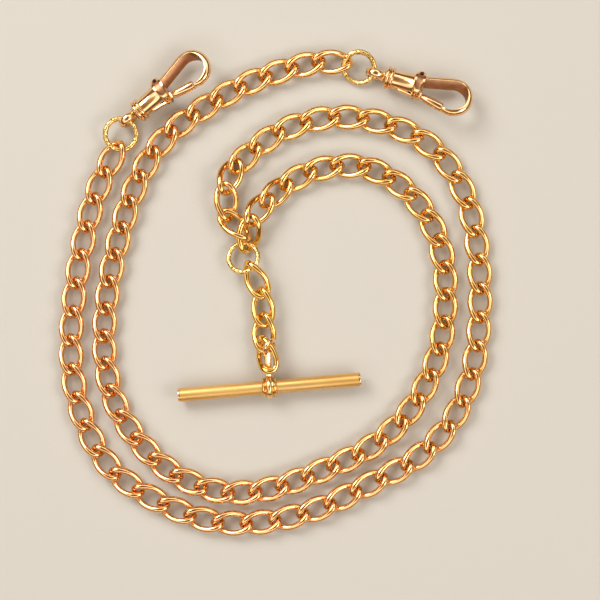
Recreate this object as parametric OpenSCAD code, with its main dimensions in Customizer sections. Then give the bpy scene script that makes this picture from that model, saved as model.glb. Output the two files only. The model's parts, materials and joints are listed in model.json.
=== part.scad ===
// A gentleman's double watch chain laid out in a loose spiral on a table: two strands of curb links,
// each ending
// in a swivelling dog clip, meet on one centre link, from which a short drop carries the T-bar.
// Millimetres, +Z up, the table at z = 0.

/* [Curb links] */
// Diameter of the wire of a curb link
wire = 1.05; // [1:0.05:1.1]
// Length of a link over its outside
link_length = 7.45; // [7.4:0.05:7.6]
// Width of a link over its outside, before its ends are twisted
link_width = 4.94; // [4.8:0.02:5.1]
// How far each end of a link is twisted out of the flat, in degrees
link_twist = 48; // [46:1:50]

/* [Jump rings] */
// Diameter of the wire of a jump ring
ring_wire = 0.78; // [0.7:0.02:0.8]
// Outside diameter of the junction ring
junction_ring_width = 6; // [5.9:0.05:6.1]
// Outside diameter of the ring that carries a clip
clip_ring_width = 6.3; // [6.2:0.05:6.4]

/* [T-bar] */
// Length of the bar over its end caps
bar_length = 31.8; // [31:0.2:33]
// Diameter of the bar
bar_width = 2.1; // [1.9:0.05:2.2]
// Thickness of each end cap
cap_thickness = 0.5; // [0.3:0.1:0.8]
// Length of the collar along the bar
collar_length = 2.7; // [2.4:0.1:3]
// Diameter over the collar's middle bead
collar_width = 4.1; // [3.9:0.1:4.2]
// Outside diameter of the eye
eye_width = 3.12; // [3.1:0.02:3.2]
// Thickness of the eye's wire
eye_wire = 0.76; // [0.7:0.02:0.78]
// Width of the eight-sided stem
stem_width = 1.2; // [1:0.05:1.25]

/* [Dog clips] */
// Diameter of the small collar at the swivel end
small_collar_width = 4.1; // [3.8:0.1:4.3]
// Diameter of the large collar at the gate
large_collar_width = 5.2; // [5:0.1:5.4]
// Distance between the middles of the two collars
barrel_length = 5.2; // [5:0.1:5.4]
// Outside radius of the hook's bow
hook_radius = 3.45; // [3.3:0.05:3.6]
// Depth of the hook's band, across the clip
hook_depth = 1.8; // [1.5:0.1:2]
// Thickness of the hook's band
hook_thickness = 1.2; // [1:0.05:1.3]
// Diameter of the gate
gate_width = 1.1; // [1:0.05:1.15]
// Diameter of the gate's pin
gate_pin_width = 0.6; // [0.5:0.05:0.7]
// Diameter of the swivel's stem
swivel_stem_width = 1; // [0.9:0.05:1.1]
// Outside diameter of the swivel's eye
swivel_eye_width = 3.5; // [3.4:0.1:3.6]
// Thickness of the swivel eye's wire
swivel_eye_wire = 0.9; // [0.8:0.05:1]

/* [Hidden] */
$fn = 48;

// Colours
strand_colour = [0.86, 0.66, 0.33];
ring_colour = [0.88, 0.72, 0.38];
bar_colour = [0.82, 0.64, 0.35];
clip_colour = [0.87, 0.68, 0.42];
steel_colour = [0.72, 0.7, 0.66];

// Fits
running_fit = 0.05;        // radial clearance of a turning pin or stem
slot_fit = 0.12;           // clearance of the gate's root in its slot, each side
solder_fit = 0.02;         // radial clearance of a soldered sleeve
overlap = 0.3;             // how far joined shapes reach into each other

// Sides and rings of a link's wire
wire_sides = 8;
wire_rings = 12;

half_length = (link_length - wire) / 2;
half_width = (link_width - wire) / 2;

// Names
links_a_part = 3;
parts_a_strand = 15;
function two_digits(i) = i < 10 ? str("0", i) : str(i);
STRAND_NODES = [
    for (s = ["strand_a_", "strand_b_"]) for (i = [1 : parts_a_strand]) str(s, two_digits(i))
];

// The lay on the table: points that each strand passes, from its clip to the centre
route_a = [
    [-27.5, 25.8], [-31.2, 18.5], [-33.8, 8.5], [-35.3, -1], [-35.8, -11], [-33.9, -21], [-28.9, -30.3],
    [-20.5, -36], [-11, -39.5], [-1.5, -39.5], [8, -37], [16, -33], [24.5, -28.5], [31, -21.5], [34.5, -12],
    [35.5, -1.5], [35, 8.5], [32.5, 18.5], [27, 26], [18.5, 30], [9, 31], [-0.6, 27.9], [-7.25, 22.15]
];
route_b = [
    [12.1, 40.45], [6.5, 40.5], [-3.5, 37.5], [-12, 33], [-20, 26.8], [-24.6, 18.8], [-27.4, 10],
    [-29.3, 1], [-30, -9], [-28.4, -18.2], [-23.7, -25.9], [-17.2, -31.6], [-8.5, -34.5], [0, -33.5],
    [8, -30.5], [16.5, -26.5], [23.5, -20], [28, -11], [29.5, -1], [28.5, 9], [23.5, 17.5], [15, 22.5],
    [5.5, 21.5], [1.7, 19.3]
];
spans = 12;                // pieces that each stretch of a route is drawn with
free_links_a = 43;         // links of strand A that lie flat along its route, the rest hang further in
free_links_b = 44;

// Links around the centre that lie turned and tilted: [x, y, z, yaw, pitch, roll], z above the flat chain
last_links_a = [
    [-8.05, 20.65, 0.5, -114, -16, -9], [-8.65, 16.15, 0.7, -86, 8, -18], [-7.2, 12.05, 0.75, -45, -7, -29]
];
last_links_b = [[-0.1, 17.75, 0.3, -138, -9, -7], [-2.95, 14.85, 1.2, -129, -13, -5]];
centre_place = [-4.7, 10.6, 0.8, -103, 18, -8];
junction_place = [-5.75, 6.5, 0.55, 6, -7, -12];
drop_places = [
    [-3.5, 2.6, 1.05, -64, 5, 25], [-2.3, -2.1, 0.7, -85, 4, 20],
    [-2.15, -6.55, 0.55, -89, 0, 13], [-1.75, -10.25, 1.3, -73, -20, 37]
];

// Clips: place of the middle of the small collar [x, y, z], then yaw of the barrel, pitch and roll
clip_place_a = [-23.7, 32.05, 0.77, 38, -6, -20];
clip_place_b = [19.7, 37.6, 0.77, -17, -6, -20];
swivel_turn_a = 104;        // how far the swivel's eye is turned about the barrel
swivel_turn_b = 108;
clip_ring_place_a = [-27.05, 27.95, 0.2, 0, 15, 10];
clip_ring_place_b = [14.35, 39.55, 0.35, 0, -13, 20];

// T-bar: middle of the collar [x, y, z] and yaw of the bar
t_bar_place = [-1.2, -16, 0.78, 5];
eye_place = [-1.15, -8.9, 2.2, 58, 0, 63];

// Helpers
function running(v, i = 0, total = 0, out = []) =
    i == len(v) ? out : running(v, i + 1, total + v[i], concat(out, [total + v[i]]));
function unit(v) = v / norm(v);
function turn_x(a) = [[1, 0, 0], [0, cos(a), -sin(a)], [0, sin(a), cos(a)]];
function turn_y(a) = [[cos(a), 0, sin(a)], [0, 1, 0], [-sin(a), 0, cos(a)]];
function turn_z(a) = [[cos(a), -sin(a), 0], [sin(a), cos(a), 0], [0, 0, 1]];
function turned(place, v) = turn_z(place[3]) * turn_y(place[4]) * turn_x(place[5]) * v;
function placed(place, v) = [place[0], place[1], place[2]] + turned(place, v);

// A smooth curve through a route's points, and evenly spaced stations on it
function padded(p) = concat([2 * p[0] - p[1]], p, [2 * p[len(p) - 1] - p[len(p) - 2]]);
function between(a, b, c, d, t) =
    0.5 * (2 * b + (c - a) * t + (2 * a - 5 * b + 4 * c - d) * t * t + (3 * b - a - 3 * c + d) * t * t * t);
function curve(p) = let (q = padded(p)) concat(
    [for (i = [1 : len(p) - 1]) for (k = [0 : spans - 1])
        between(q[i - 1], q[i], q[i + 1], q[i + 2], k / spans)],
    [p[len(p) - 1]]
);
function stations(p, links) = let (
    c = curve(p),
    steps = [for (i = [1 : len(c) - 1]) norm(c[i] - c[i - 1])],
    along = concat([0], running(steps)),
    total = along[len(along) - 1],
    xs = [for (i = [0 : len(c) - 1]) [along[i], c[i][0]]],
    ys = [for (i = [0 : len(c) - 1]) [along[i], c[i][1]]]
) [for (i = [0 : links]) [lookup(i * total / links, xs), lookup(i * total / links, ys)]];
function flat_places(p, links) = let (s = stations(p, links)) [for (i = [1 : links])
    let (middle = (s[i] + s[i - 1]) / 2, step = s[i] - s[i - 1])
        [middle[0], middle[1], 0, atan2(step[1], step[0]), 0, 0]
];
places_a = concat(flat_places(route_a, free_links_a), last_links_a);
places_b = concat(flat_places(route_b, free_links_b), last_links_b);
strand_links = len(places_a);

// The wire of a curb link: an oval whose two ends are twisted against each other
function wire_turn(k) = let (psi = k * 360 / wire_rings)
    atan2(half_width * sin(psi), half_length * cos(psi));
function wire_point(t) = let (
    x = half_length * cos(t), y = half_width * sin(t), twist = -link_twist * cos(t)
) [x, y * cos(twist), y * sin(twist)];
function wire_way(t) = unit(wire_point(t + 0.5) - wire_point(t - 0.5));
function wire_ring(t) = let (
    p = wire_point(t), way = wire_way(t), out = unit(p - (p * way) * way), side = cross(way, out),
    step = 360 / wire_sides
) [for (j = [0 : wire_sides - 1]) p + wire / 2 * (cos(j * step) * out + sin(j * step) * side)];
link_points = [for (k = [0 : wire_rings - 1]) each wire_ring(wire_turn(k))];
function skin(k, j) = (k % wire_rings) * wire_sides + j % wire_sides;
link_faces = [for (k = [0 : wire_rings - 1]) for (j = [0 : wire_sides - 1]) each [
    [skin(k, j), skin(k + 1, j), skin(k + 1, j + 1)], [skin(k, j), skin(k + 1, j + 1), skin(k, j + 1)]
]];
rise = max([for (p = link_points) p[2]]);

// Everything is measured from the flat chain's mid-plane, then lifted on to the table and centred
lay_centre = [-0.13, 0.4];
lay_shift = [-lay_centre[0], -lay_centre[1], rise];

module lay(place) {
    translate(lay_shift + [place[0], place[1], place[2]])
        rotate([0, 0, place[3]]) rotate([0, place[4], 0]) rotate([place[5], 0, 0]) children();
}

module chain_link() {
    polyhedron(points = link_points, faces = link_faces, convexity = 4);
}

module jump_ring(width) {
    rotate_extrude() translate([(width - ring_wire) / 2, 0]) circle(d = ring_wire);
}

module strand_part(places, part) {
    first = (part - 1) * links_a_part;
    last = part == parts_a_strand ? strand_links - 1 : first + links_a_part - 1;
    color(strand_colour) for (i = [first : last]) lay(places[i]) chain_link();
}

module centre_link() {
    color(strand_colour) lay(centre_place) chain_link();
}

module junction_ring() {
    color(ring_colour) lay(junction_place) jump_ring(junction_ring_width);
}

module drop_link(i) {
    color(strand_colour) lay(drop_places[i]) chain_link();
}

// T-bar: the bar lies along x in its own frame, its collar round its middle
bar_body = bar_length - 2 * cap_thickness;
rim_thickness = 0.45;
rim_width = collar_width - 0.3;
sleeve_width = bar_width + 0.9;
collar_bore = bar_width + 2 * solder_fit;
bead_radius = collar_length / 2 - rim_thickness;
cap_edge = 0.12;

module bar_frame() {
    translate(lay_shift + [t_bar_place[0], t_bar_place[1], t_bar_place[2]])
        rotate([0, 0, t_bar_place[3]]) rotate([0, 90, 0]) children();
}

module t_bar() {
    color(bar_colour) bar_frame() cylinder(h = bar_body, d = bar_width, center = true);
}

module bar_cap() {
    cylinder(h = cap_thickness - cap_edge, d = bar_width + 2 * cap_edge);
    translate([0, 0, cap_thickness - cap_edge])
        cylinder(h = cap_edge, d1 = bar_width + 2 * cap_edge, d2 = bar_width);
}

module t_bar_cap_left() {
    color(bar_colour) bar_frame() mirror([0, 0, 1]) translate([0, 0, bar_body / 2]) bar_cap();
}

module t_bar_cap_right() {
    color(bar_colour) bar_frame() translate([0, 0, bar_body / 2]) bar_cap();
}

// The collar's outside, made bigger all round where the eye's stem is cut to sit on it
module collar_shape(extra) {
    cylinder(h = collar_length, d = sleeve_width + 2 * extra, center = true);
    for (side = [-1, 1]) translate([0, 0, side * (collar_length - rim_thickness) / 2])
        cylinder(h = rim_thickness, d = rim_width + 2 * extra, center = true);
    rotate_extrude() translate([collar_width / 2 - bead_radius, 0]) circle(r = bead_radius + extra);
}

module t_bar_collar() {
    color(ring_colour) bar_frame() difference() {
        collar_shape(0);
        cylinder(h = collar_length + 2 * overlap, d = collar_bore, center = true);
    }
}

// The eye is a ring, and its stem runs from the ring's rim to the collar
eye_radius = (eye_width - eye_wire) / 2;
collar_point = [t_bar_place[0], t_bar_place[1], t_bar_place[2]]
    + turn_z(t_bar_place[3]) * [0, (rim_width + sleeve_width) / 4, 0];
eye_centre = [eye_place[0], eye_place[1], eye_place[2]];
eye_axis = turned(eye_place, [0, 0, 1]);
toward = collar_point - eye_centre;
eye_rim = eye_centre + eye_radius * unit(toward - (toward * eye_axis) * eye_axis);
stem_run = collar_point - eye_rim;

module t_bar_eye() {
    color(ring_colour) {
        lay(eye_place) rotate_extrude() translate([eye_radius, 0]) circle(d = eye_wire);
        difference() {
            translate(lay_shift + eye_rim)
                rotate([0, acos(stem_run[2] / norm(stem_run)), atan2(stem_run[1], stem_run[0])])
                    cylinder(h = norm(stem_run), d = stem_width, $fn = 8);
            bar_frame() collar_shape(solder_fit);
        }
    }
}

// Dog clips. In a clip's frame x runs from the small collar towards the hook, y to the hook's spine side.
small_collar_thickness = 1.3;
large_collar_thickness = 1.5;
barrel_small = small_collar_width - 0.7;
barrel_large = large_collar_width - 0.8;
chamber_width = 2.2;
chamber_start = 0.8;
chamber_length = 2;
swivel_bore = swivel_stem_width + 2 * running_fit;
bow_reach = 6.3;           // from the barrel's end to the middle of the hook's bow
bow_offset = -0.35;        // and how far that lies beside the clip's axis
bow_centre = [barrel_length + bow_reach, bow_offset];
bow_radius = hook_radius - hook_thickness / 2;
bow_start = 105;           // degrees round the bow where the spine ends
bow_end = -112;            // and where the tip is
spine_root = [barrel_length + 0.4, 1.15];
spine_end = bow_centre + bow_radius * [cos(bow_start), sin(bow_start)];
spine_extra = 0.1;         // how much bigger the spine's section is than the bow's
gate_pivot = [barrel_length + 0.2, -1.6];
gate_tip = bow_centre + (bow_radius - 0.15) * [cos(bow_end - 4), sin(bow_end - 4)];
gate_run = gate_tip - gate_pivot;
knuckle_width = 1.5;
knuckle_length = 1;
slot_width = knuckle_length + 2 * slot_fit;
pin_length = 3.6;
slot_floor = 0.6;          // how far the slot's inner wall stays from the clip's axis
tail_start = 1.7;
tail_gap = 0.15;
tail_thickness = 0.45;
slot_start = 3.7;
spring_thickness = 0.15;
spring_start = 4.2;
spring_length = 1.9;
swivel_gap = 0.25;
head_width = 1.8;
head_thickness = 0.5;
head_gap = 0.1;
swivel_radius = (swivel_eye_width - swivel_eye_wire) / 2;
swivel_centre = -small_collar_thickness / 2 - swivel_gap - swivel_eye_width / 2;
stem_length = chamber_start + head_gap - swivel_centre - swivel_radius + overlap;
section_bevel = 0.35;

module along_x() {
    rotate([0, 90, 0]) children();
}

module collar(width, thickness) {
    along_x() rotate_extrude() {
        translate([width / 2 - thickness / 2, 0]) circle(d = thickness);
        translate([0, -thickness / 2]) square([width / 2 - thickness / 2, thickness]);
    }
}

module hook_section(extra) {
    w = (hook_thickness + extra) / 2;
    h = (hook_depth + extra) / 2;
    polygon([
        [w, h - section_bevel], [w - section_bevel, h], [section_bevel - w, h], [-w, h - section_bevel],
        [-w, section_bevel - h], [section_bevel - w, -h], [w - section_bevel, -h], [w, section_bevel - h]
    ]);
}

module hook() {
    run = spine_end - spine_root;
    translate([bow_centre[0], bow_centre[1], 0]) rotate([0, 0, bow_end])
        rotate_extrude(angle = bow_start - bow_end, $fn = 96) translate([bow_radius, 0]) hook_section(0);
    translate([spine_root[0], spine_root[1], 0]) rotate([0, 0, atan2(run[1], run[0])])
        rotate([90, 0, 90]) linear_extrude(height = norm(run) + overlap) hook_section(spine_extra);
}

module gate_slot() {
    translate([slot_start, -large_collar_width, -slot_width / 2])
        cube([barrel_length, large_collar_width - slot_floor, slot_width]);
}

module clip_body(place) {
    color(clip_colour) lay(place) difference() {
        union() {
            collar(small_collar_width, small_collar_thickness);
            along_x() cylinder(h = barrel_length, d1 = barrel_small, d2 = barrel_large);
            translate([barrel_length, 0, 0]) collar(large_collar_width, large_collar_thickness);
            hook();
        }
        gate_slot();
        translate([-small_collar_width, 0, 0])
            along_x() cylinder(h = small_collar_width + chamber_start + overlap, d = swivel_bore);
        translate([chamber_start, 0, 0]) along_x() cylinder(h = chamber_length, d = chamber_width);
        translate([gate_pivot[0], gate_pivot[1], 0])
            cylinder(h = 2 * large_collar_width, d = gate_pin_width + 2 * solder_fit, center = true);
    }
}

module clip_gate(place) {
    color(clip_colour) lay(place) difference() {
        union() {
            translate([gate_pivot[0], gate_pivot[1], 0]) {
                cylinder(h = knuckle_length, d = knuckle_width, center = true);
                rotate([0, 0, atan2(gate_run[1], gate_run[0])])
                    along_x() cylinder(h = norm(gate_run), d = gate_width);
            }
            tail();
        }
        translate([gate_pivot[0], gate_pivot[1], 0])
            cylinder(h = 2 * knuckle_length, d = gate_pin_width + 2 * running_fit, center = true);
    }
}

function barrel_radius(x) = (barrel_small + (barrel_large - barrel_small) * x / barrel_length) / 2;

// The gate's root runs back through the slot and ends as a thumb piece that lies along the barrel
module tail() {
    inner_start = -barrel_radius(tail_start) - tail_gap;
    inner_slot = -barrel_radius(slot_start) - tail_gap;
    translate([0, 0, -knuckle_length / 2]) linear_extrude(height = knuckle_length) polygon([
        [tail_start, inner_start], [slot_start, inner_slot],
        gate_pivot + [-knuckle_width / 4, knuckle_width / 4],
        gate_pivot - [0, knuckle_width / 2], [slot_start, inner_slot - tail_thickness],
        [tail_start, inner_start - tail_thickness]
    ]);
}

module clip_pin(place) {
    color(clip_colour) lay(place) translate([gate_pivot[0], gate_pivot[1], 0])
        cylinder(h = pin_length, d = gate_pin_width, center = true);
}

// A flat spring on the slot's inner wall, behind the gate's knuckle
module clip_spring(place) {
    color(steel_colour) lay(place)
        translate([spring_start, -slot_floor - spring_thickness, -knuckle_length / 2])
            cube([spring_length, spring_thickness, knuckle_length]);
}

module clip_swivel(place, turn) {
    color(clip_colour) lay(place) rotate([turn, 0, 0]) {
        translate([swivel_centre, 0, 0])
            rotate_extrude() translate([swivel_radius, 0]) circle(d = swivel_eye_wire);
        translate([swivel_centre + swivel_radius, 0, 0])
            along_x() cylinder(h = stem_length, d = swivel_stem_width);
        translate([chamber_start + head_gap, 0, 0])
            along_x() cylinder(h = head_thickness, d = head_width);
    }
}

module clip_ring(place) {
    color(ring_colour) lay(place) jump_ring(clip_ring_width);
}

// One line for each sub-part
for (i = [1 : parts_a_strand]) {
    strand_part(places_a, i);
    strand_part(places_b, i);
}
centre_link();
junction_ring();
drop_link(0);  // drop_link_1
drop_link(1);  // drop_link_2
drop_link(2);  // drop_link_3
drop_link(3);  // drop_link_4
t_bar();
t_bar_cap_left();
t_bar_cap_right();
t_bar_collar();
t_bar_eye();
clip_ring(clip_ring_place_a);  // clip_ring_a
clip_swivel(clip_place_a, swivel_turn_a);  // clip_swivel_a
clip_body(clip_place_a);  // clip_body_a
clip_gate(clip_place_a);  // clip_gate_a
clip_pin(clip_place_a);  // clip_pin_a
clip_spring(clip_place_a);  // clip_spring_a
clip_ring(clip_ring_place_b);  // clip_ring_b
clip_swivel(clip_place_b, swivel_turn_b);  // clip_swivel_b
clip_body(clip_place_b);  // clip_body_b
clip_gate(clip_place_b);  // clip_gate_b
clip_pin(clip_place_b);  // clip_pin_b
clip_spring(clip_place_b);  // clip_spring_b
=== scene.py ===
"""Dresses a gentleman's double watch chain around its CAD frame.

Two strands of curb links run from two dog clips to a centre link, which also
carries a drop of four links with a T-bar. Each link is smoothed from its CAD
shape, and the clips, rings and the T-bar are modelled in the frames that their
joints and boxes give.
"""

from __future__ import annotations

import json
import logging
import math
from dataclasses import dataclass, field
from enum import Enum
from typing import Callable, Sequence

import bpy
import numpy as np
from bpy.types import Material, NodeSocket, NodeTree, Object
from mathutils import Matrix, Vector

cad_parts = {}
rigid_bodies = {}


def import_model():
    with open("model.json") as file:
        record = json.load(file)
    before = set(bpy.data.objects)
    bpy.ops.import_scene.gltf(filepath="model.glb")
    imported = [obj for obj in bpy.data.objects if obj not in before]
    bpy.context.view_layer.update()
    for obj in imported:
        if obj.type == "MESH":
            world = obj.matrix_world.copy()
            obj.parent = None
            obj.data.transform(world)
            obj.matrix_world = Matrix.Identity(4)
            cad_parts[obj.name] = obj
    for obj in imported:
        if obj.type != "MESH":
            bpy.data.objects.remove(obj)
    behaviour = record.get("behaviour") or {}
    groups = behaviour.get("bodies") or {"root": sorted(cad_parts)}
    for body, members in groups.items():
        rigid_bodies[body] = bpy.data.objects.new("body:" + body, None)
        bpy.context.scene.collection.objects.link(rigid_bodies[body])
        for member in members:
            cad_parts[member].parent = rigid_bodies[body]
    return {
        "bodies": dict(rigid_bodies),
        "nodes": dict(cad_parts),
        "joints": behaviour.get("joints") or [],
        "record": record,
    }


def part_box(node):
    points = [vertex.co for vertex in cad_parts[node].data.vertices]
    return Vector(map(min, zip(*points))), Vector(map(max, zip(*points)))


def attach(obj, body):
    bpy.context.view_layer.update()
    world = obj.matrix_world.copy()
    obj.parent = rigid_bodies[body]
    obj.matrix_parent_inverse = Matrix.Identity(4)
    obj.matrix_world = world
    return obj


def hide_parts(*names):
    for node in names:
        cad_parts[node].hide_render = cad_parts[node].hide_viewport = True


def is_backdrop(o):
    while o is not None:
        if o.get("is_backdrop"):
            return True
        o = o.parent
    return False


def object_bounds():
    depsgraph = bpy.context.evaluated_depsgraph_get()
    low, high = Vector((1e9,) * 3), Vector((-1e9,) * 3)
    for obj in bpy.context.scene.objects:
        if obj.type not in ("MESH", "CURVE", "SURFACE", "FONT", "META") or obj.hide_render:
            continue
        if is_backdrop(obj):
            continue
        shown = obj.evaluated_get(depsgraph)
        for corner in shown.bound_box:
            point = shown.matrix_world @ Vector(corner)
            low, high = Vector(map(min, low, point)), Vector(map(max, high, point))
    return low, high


LOG = logging.getLogger("watch_chain")
MM = 0.001  # a millimetre, in metres
WELD = 0.002 * MM  # points nearer than this are one point
UNSTRETCHED = (1.0, 1.0, 1.0)
UNTURNED = (0.0, 0.0, 0.0)

Pair = tuple[float, float]
Profile = Sequence[Pair]
Colour = tuple[float, float, float]


class Side(Enum):
    """One of the two strands, with the clip at its end."""

    A = "a"
    B = "b"


class Corners(Enum):
    """The angle, in degrees, past which a shape's edges stay sharp."""

    ROUND = 38.0
    FACETED = 8.0


class Work(Enum):
    """What a second shape does to a piece."""

    CUT = "DIFFERENCE"
    JOIN = "UNION"
    TRIM = "INTERSECT"


# ---------------------------------------------------------------- finishes


@dataclass(frozen=True)
class MetalFinish:
    """Gold or steel whose tint, polish and tool marks vary over the surface.

    Clouds and marks are in millimetres. A rose tint, where there is one, sets
    in between rose_start and rose_reach, in millimetres from rose_centre.
    """

    name: str
    light: Colour
    deep: Colour
    polish: float = 0.12
    dullest: float = 0.24
    cloud: float = 3.0
    cloud_start: float = 0.35
    cloud_end: float = 0.7
    mark: float = 0.25
    mark_depth: float = 0.004
    stretch: tuple[float, float, float] = UNSTRETCHED
    turn: float = 0.0
    rose: Colour | None = None
    rose_centre: tuple[float, float, float] = (12.0, 8.0, 0.0)
    rose_start: float = 20.7
    rose_reach: float = 46.0

    def make(self) -> Material:
        """Builds the material's nodes.

        Returns:
            The finished material.
        """
        material = bpy.data.materials.new(self.name)
        material.use_nodes = True
        tree = material.node_tree
        shader = tree.nodes["Principled BSDF"]
        shader.inputs["Metallic"].default_value = 1.0
        place = tree.nodes.new("ShaderNodeTexCoord").outputs["Object"]
        tint = self._tint(tree, place)
        tree.links.new(tint, shader.inputs["Base Color"])
        tree.links.new(self._polish(tree, place), shader.inputs["Roughness"])
        tree.links.new(self._marks(tree, place), shader.inputs["Normal"])
        return material

    def _noise(self, tree: NodeTree, place: NodeSocket, size: float, detail: float) -> NodeSocket:
        """Adds a noise whose features are about one size.

        Args:
            tree: The material's node tree.
            place: The coordinates that the noise reads.
            size: The size of a feature, in millimetres.
            detail: How many finer layers it has.

        Returns:
            The noise's value.
        """
        mapping = tree.nodes.new("ShaderNodeMapping")
        mapping.inputs["Scale"].default_value = self.stretch
        mapping.inputs["Rotation"].default_value = (0.0, 0.0, -self.turn)
        mapping.vector_type = "TEXTURE"
        noise = tree.nodes.new("ShaderNodeTexNoise")
        noise.inputs["Scale"].default_value = 1.0 / (size * MM)
        noise.inputs["Detail"].default_value = detail
        tree.links.new(place, mapping.inputs["Vector"])
        tree.links.new(mapping.outputs["Vector"], noise.inputs["Vector"])
        return noise.outputs["Fac"]

    def _tint(self, tree: NodeTree, place: NodeSocket) -> NodeSocket:
        """Mixes the light and deep tint in soft clouds, and rose away from its centre.

        Args:
            tree: The material's node tree.
            place: The surface's coordinates.

        Returns:
            The colour.
        """
        mix = tree.nodes.new("ShaderNodeMix")
        mix.data_type = "RGBA"
        mix.inputs["A"].default_value = (*self.light, 1.0)
        mix.inputs["B"].default_value = (*self.deep, 1.0)
        clouds = self._noise(tree, place, self.cloud, 3.0)
        share = self._spread(tree, clouds, (self.cloud_start, self.cloud_end), (0.0, 1.0))
        tree.links.new(share, mix.inputs["Factor"])
        if self.rose is None:
            return mix.outputs["Result"]
        far = tree.nodes.new("ShaderNodeVectorMath")
        far.operation = "DISTANCE"
        far.inputs[1].default_value = [value * MM for value in self.rose_centre]
        tree.links.new(place, far.inputs[0])
        band = (self.rose_start * MM, self.rose_reach * MM)
        reach = self._spread(tree, far.outputs["Value"], band, (0.0, 1.0))
        rosy = tree.nodes.new("ShaderNodeMix")
        rosy.data_type = "RGBA"
        rosy.inputs["B"].default_value = (*self.rose, 1.0)
        tree.links.new(mix.outputs["Result"], rosy.inputs["A"])
        tree.links.new(reach, rosy.inputs["Factor"])
        return rosy.outputs["Result"]

    def _polish(self, tree: NodeTree, place: NodeSocket) -> NodeSocket:
        """Gives the roughness, from its best polish to its dullest wear.

        Args:
            tree: The material's node tree.
            place: The surface's coordinates.

        Returns:
            The roughness.
        """
        wear = self._noise(tree, place, 0.6 * self.cloud, 5.0)
        clouds = (self.cloud_start, self.cloud_end)
        return self._spread(tree, wear, clouds, (self.polish, self.dullest))

    def _marks(self, tree: NodeTree, place: NodeSocket) -> NodeSocket:
        """Raises fine tool marks.

        Args:
            tree: The material's node tree.
            place: The surface's coordinates.

        Returns:
            The bumped normal.
        """
        bump = tree.nodes.new("ShaderNodeBump")
        bump.inputs["Strength"].default_value = 1.0
        bump.inputs["Distance"].default_value = self.mark_depth * MM
        tree.links.new(self._noise(tree, place, self.mark, 2.0), bump.inputs["Height"])
        return bump.outputs["Normal"]

    @staticmethod
    def _spread(tree: NodeTree, value: NodeSocket, given: Pair, wanted: Pair) -> NodeSocket:
        """Maps one range to another, held at its ends.

        Args:
            tree: The material's node tree.
            value: What is mapped.
            given: The range that it comes in, from low to high.
            wanted: The range that it is mapped to.

        Returns:
            The mapped value.
        """
        node = tree.nodes.new("ShaderNodeMapRange")
        names = ("From Min", "From Max", "To Min", "To Max")
        for name, number in zip(names, (*given, *wanted)):
            node.inputs[name].default_value = number
        tree.links.new(value, node.inputs["Value"])
        return node.outputs["Result"]


@dataclass(frozen=True)
class LinenFinish:
    """A plain pale cloth for the floor, with its threads in millimetres."""

    name: str = "pale_linen"
    colour: Colour = (0.60, 0.59, 0.565)
    roughness: float = 0.9
    thread: float = 0.35
    thread_height: float = 0.02

    def make(self) -> Material:
        """Builds the floor's material.

        Returns:
            The finished material.
        """
        material = bpy.data.materials.new(self.name)
        material.use_nodes = True
        tree = material.node_tree
        shader = tree.nodes["Principled BSDF"]
        shader.inputs["Base Color"].default_value = (*self.colour, 1.0)
        shader.inputs["Roughness"].default_value = self.roughness
        place = tree.nodes.new("ShaderNodeTexCoord").outputs["Object"]
        noise = tree.nodes.new("ShaderNodeTexNoise")
        noise.inputs["Scale"].default_value = 1.0 / (self.thread * MM)
        bump = tree.nodes.new("ShaderNodeBump")
        bump.inputs["Distance"].default_value = self.thread_height * MM
        tree.links.new(place, noise.inputs["Vector"])
        tree.links.new(noise.outputs["Fac"], bump.inputs["Height"])
        tree.links.new(bump.outputs["Normal"], shader.inputs["Normal"])
        return material


STRAND_GOLD = MetalFinish(
    "strand_gold", (0.93, 0.61, 0.24), (0.84, 0.48, 0.15), polish=0.07, dullest=0.17,
    rose=(0.92, 0.53, 0.24),
)
DROP_GOLD = MetalFinish(
    "drop_gold", (0.94, 0.64, 0.22), (0.86, 0.53, 0.14), polish=0.07, dullest=0.17
)
RING_GOLD = MetalFinish(
    "ring_gold", (0.94, 0.70, 0.30), (0.80, 0.52, 0.16), mark=0.18, mark_depth=0.02
)
CLIP_GOLD = MetalFinish(
    "clip_gold", (0.94, 0.66, 0.36), (0.86, 0.53, 0.26), polish=0.07, dullest=0.16
)
# Rougher gold for the clips' hidden sides: the roughness is real dullness, but the dark, rosy
# colour is painted shade.
CLIP_DULL_PAINTED_SHADE = MetalFinish(
    "clip_lining", (0.52, 0.28, 0.16), (0.40, 0.20, 0.11), polish=0.34, dullest=0.46, cloud=1.6
)
BAR_SATIN = MetalFinish(
    "bar_satin", (0.93, 0.62, 0.24), (0.82, 0.49, 0.15), polish=0.4, dullest=0.54,
    mark=0.12, mark_depth=0.006, stretch=(14.0, 1.0, 1.0), turn=math.radians(5.0),
)
COLLAR_GOLD = MetalFinish(
    "collar_gold", (0.94, 0.68, 0.30), (0.74, 0.42, 0.15), polish=0.1, dullest=0.25,
    mark=0.14, mark_depth=0.012,
)
CAP_POLISHED = MetalFinish(
    "cap_polished", (0.95, 0.70, 0.42), (0.88, 0.58, 0.30), polish=0.06, dullest=0.14
)
SPRING_STEEL = MetalFinish(
    "spring_steel", (0.60, 0.58, 0.54), (0.44, 0.42, 0.40), polish=0.2, dullest=0.35
)


# ------------------------------------------------------------- the bench


def pick(obj: Object) -> None:
    """Selects one object and nothing else.

    Args:
        obj: The object to work on.
    """
    bpy.ops.object.select_all(action="DESELECT")
    obj.select_set(True)
    bpy.context.view_layer.objects.active = obj


def apply_modifiers(obj: Object) -> None:
    """Applies every modifier of an object, in order.

    Args:
        obj: The object.
    """
    pick(obj)
    for modifier in list(obj.modifiers):
        bpy.ops.object.modifier_apply(modifier=modifier.name)


def smooth(obj: Object, corners: Corners = Corners.ROUND) -> None:
    """Shades an object smooth, with its sharper edges kept.

    Args:
        obj: The object.
        corners: The angle past which an edge stays sharp.
    """
    pick(obj)
    bpy.ops.object.shade_smooth_by_angle(angle=math.radians(corners.value))


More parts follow.
